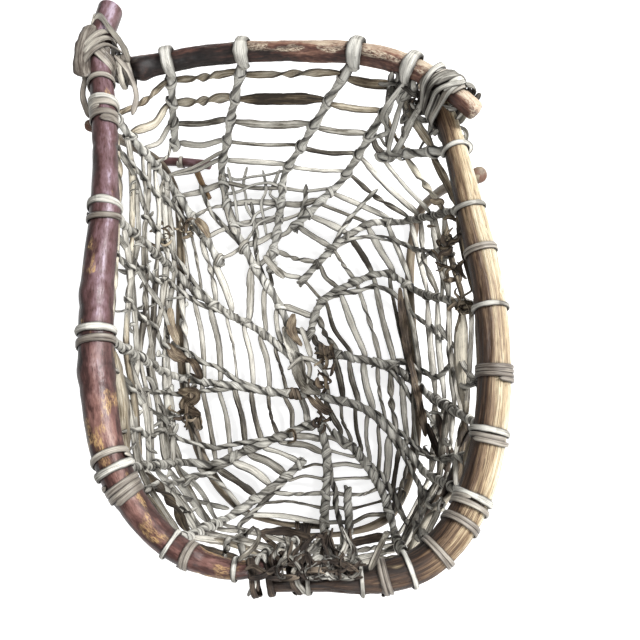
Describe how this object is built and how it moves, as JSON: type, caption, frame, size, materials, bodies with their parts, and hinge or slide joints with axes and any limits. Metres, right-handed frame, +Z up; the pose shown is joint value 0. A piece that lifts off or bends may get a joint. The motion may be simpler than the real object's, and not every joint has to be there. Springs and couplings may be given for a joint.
{
  "type": "twig basket",
  "caption": "Open gathering basket with a bent-rod rim, a lower bow of thin rods and a net of twined bark cords, bound with flat bark strips.",
  "frame": {"origin": "middle of the bounding box, on the ground", "axes": "+Y runs along the length towards the crossbar, +Z is up out of the mouth"},
  "size_m": [0.4004, 0.5438, 0.2414],
  "materials": {
    "red_bark": "smooth purple-red bark with paler lilac lights and worn tan patches",
    "peeled_wood": "peeled tan wood with long dark grooves",
    "dark_bark": "rough near-black to reddish brown bark",
    "tan_wood": "dry tan stick with brown streaks",
    "bark_cord": "twisted grey-beige bast strips with dark edges",
    "warp_strip": "flat grey-beige bast strips",
    "bark_binding": "glossy cream-grey flat bast strips with fine fibre lines",
    "dark_fibre": "dark matted fibre"
  },
  "bodies": {
    "root": {"rim_rod_left": "red_bark", "rim_rod_right": "peeled_wood", "crossbar": "dark_bark", "base_rod_left": "dark_bark", "base_rod_right": "tan_wood", "corner_rail": "red_bark", "corner_stick": "tan_wood", "warp_01": "warp_strip", "warp_02": "warp_strip", "warp_03": "warp_strip", "warp_04": "warp_strip", "warp_05": "warp_strip", "warp_06": "warp_strip", "warp_07": "warp_strip", "warp_08": "warp_strip", "warp_09": "warp_strip", "warp_10": "warp_strip", "warp_11": "warp_strip", "warp_12": "warp_strip", "warp_13": "warp_strip", "twined_row_01": "bark_cord", "twined_row_02": "bark_cord", "twined_row_03": "bark_cord", "twined_row_04": "bark_cord", "twined_row_05": "bark_cord", "twined_row_06": "bark_cord", "twined_row_07": "bark_cord", "twined_row_08": "bark_cord", "twined_row_09": "bark_cord", "twined_row_10": "bark_cord", "twined_row_11": "bark_cord", "twined_row_12": "bark_cord", "twined_row_13": "bark_cord", "twined_row_14": "bark_cord", "twined_row_15": "bark_cord", "twined_row_16": "bark_cord", "twined_row_17": "bark_cord", "twined_row_18": "bark_cord", "rim_binding_left_top": "bark_binding", "rim_binding_left_low": "bark_binding", "rim_binding_left_bend": "bark_binding", "rim_binding_right_top": "bark_binding", "rim_binding_right_middle": "bark_binding", "rim_binding_right_low": "bark_binding", "rim_binding_right_bend": "bark_binding", "rim_binding_right_end": "bark_binding", "corner_lashing_left_1": "bark_binding", "corner_lashing_left_2": "bark_binding", "corner_lashing_right_1": "bark_binding", "corner_lashing_right_2": "bark_binding", "front_lashing_rim": "dark_fibre", "front_lashing_base": "dark_fibre", "hub_knot_1": "dark_fibre", "hub_knot_2": "dark_fibre", "hub_strip": "warp_strip", "rail_tie": "bark_binding", "stick_tie": "dark_fibre"}
  },
  "joints": []
}
